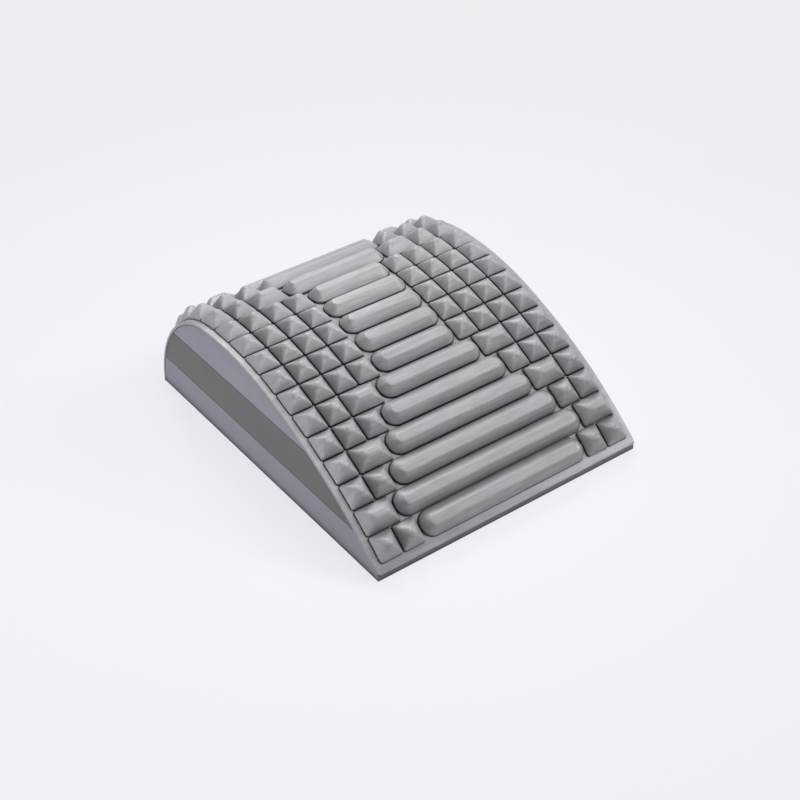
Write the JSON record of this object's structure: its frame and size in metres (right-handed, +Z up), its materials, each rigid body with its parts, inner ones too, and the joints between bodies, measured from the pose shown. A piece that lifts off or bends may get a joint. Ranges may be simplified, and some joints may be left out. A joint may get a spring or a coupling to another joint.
{
  "type": "back stretcher",
  "caption": "Arched laminated foam block for stretching the back, covered by a moulded pad of pyramid studs and cross ribs, standing on its flat underside.",
  "frame": {"origin": "middle of the footprint, on the flat underside", "axes": "+X across the block along the ribs, +Y from the thin front edge to the steep back, +Z up"},
  "size_m": [0.3, 0.3732, 0.1256],
  "materials": {
    "massage_pad": "satin moulded foam rubber skin, mid grey",
    "light_foam": "matte cut closed-cell foam, light bluish grey",
    "dark_foam": "matte cut closed-cell foam, dark neutral grey",
    "adhesive": "dried contact adhesive, dull"
  },
  "bodies": {
    "root": {"massage_pad": "massage_pad", "pad_adhesive_film": "adhesive", "upper_foam_layer": "light_foam", "upper_adhesive_film": "adhesive", "middle_foam_layer": "dark_foam", "lower_adhesive_film": "adhesive", "lower_foam_layer": "light_foam"}
  },
  "joints": []
}
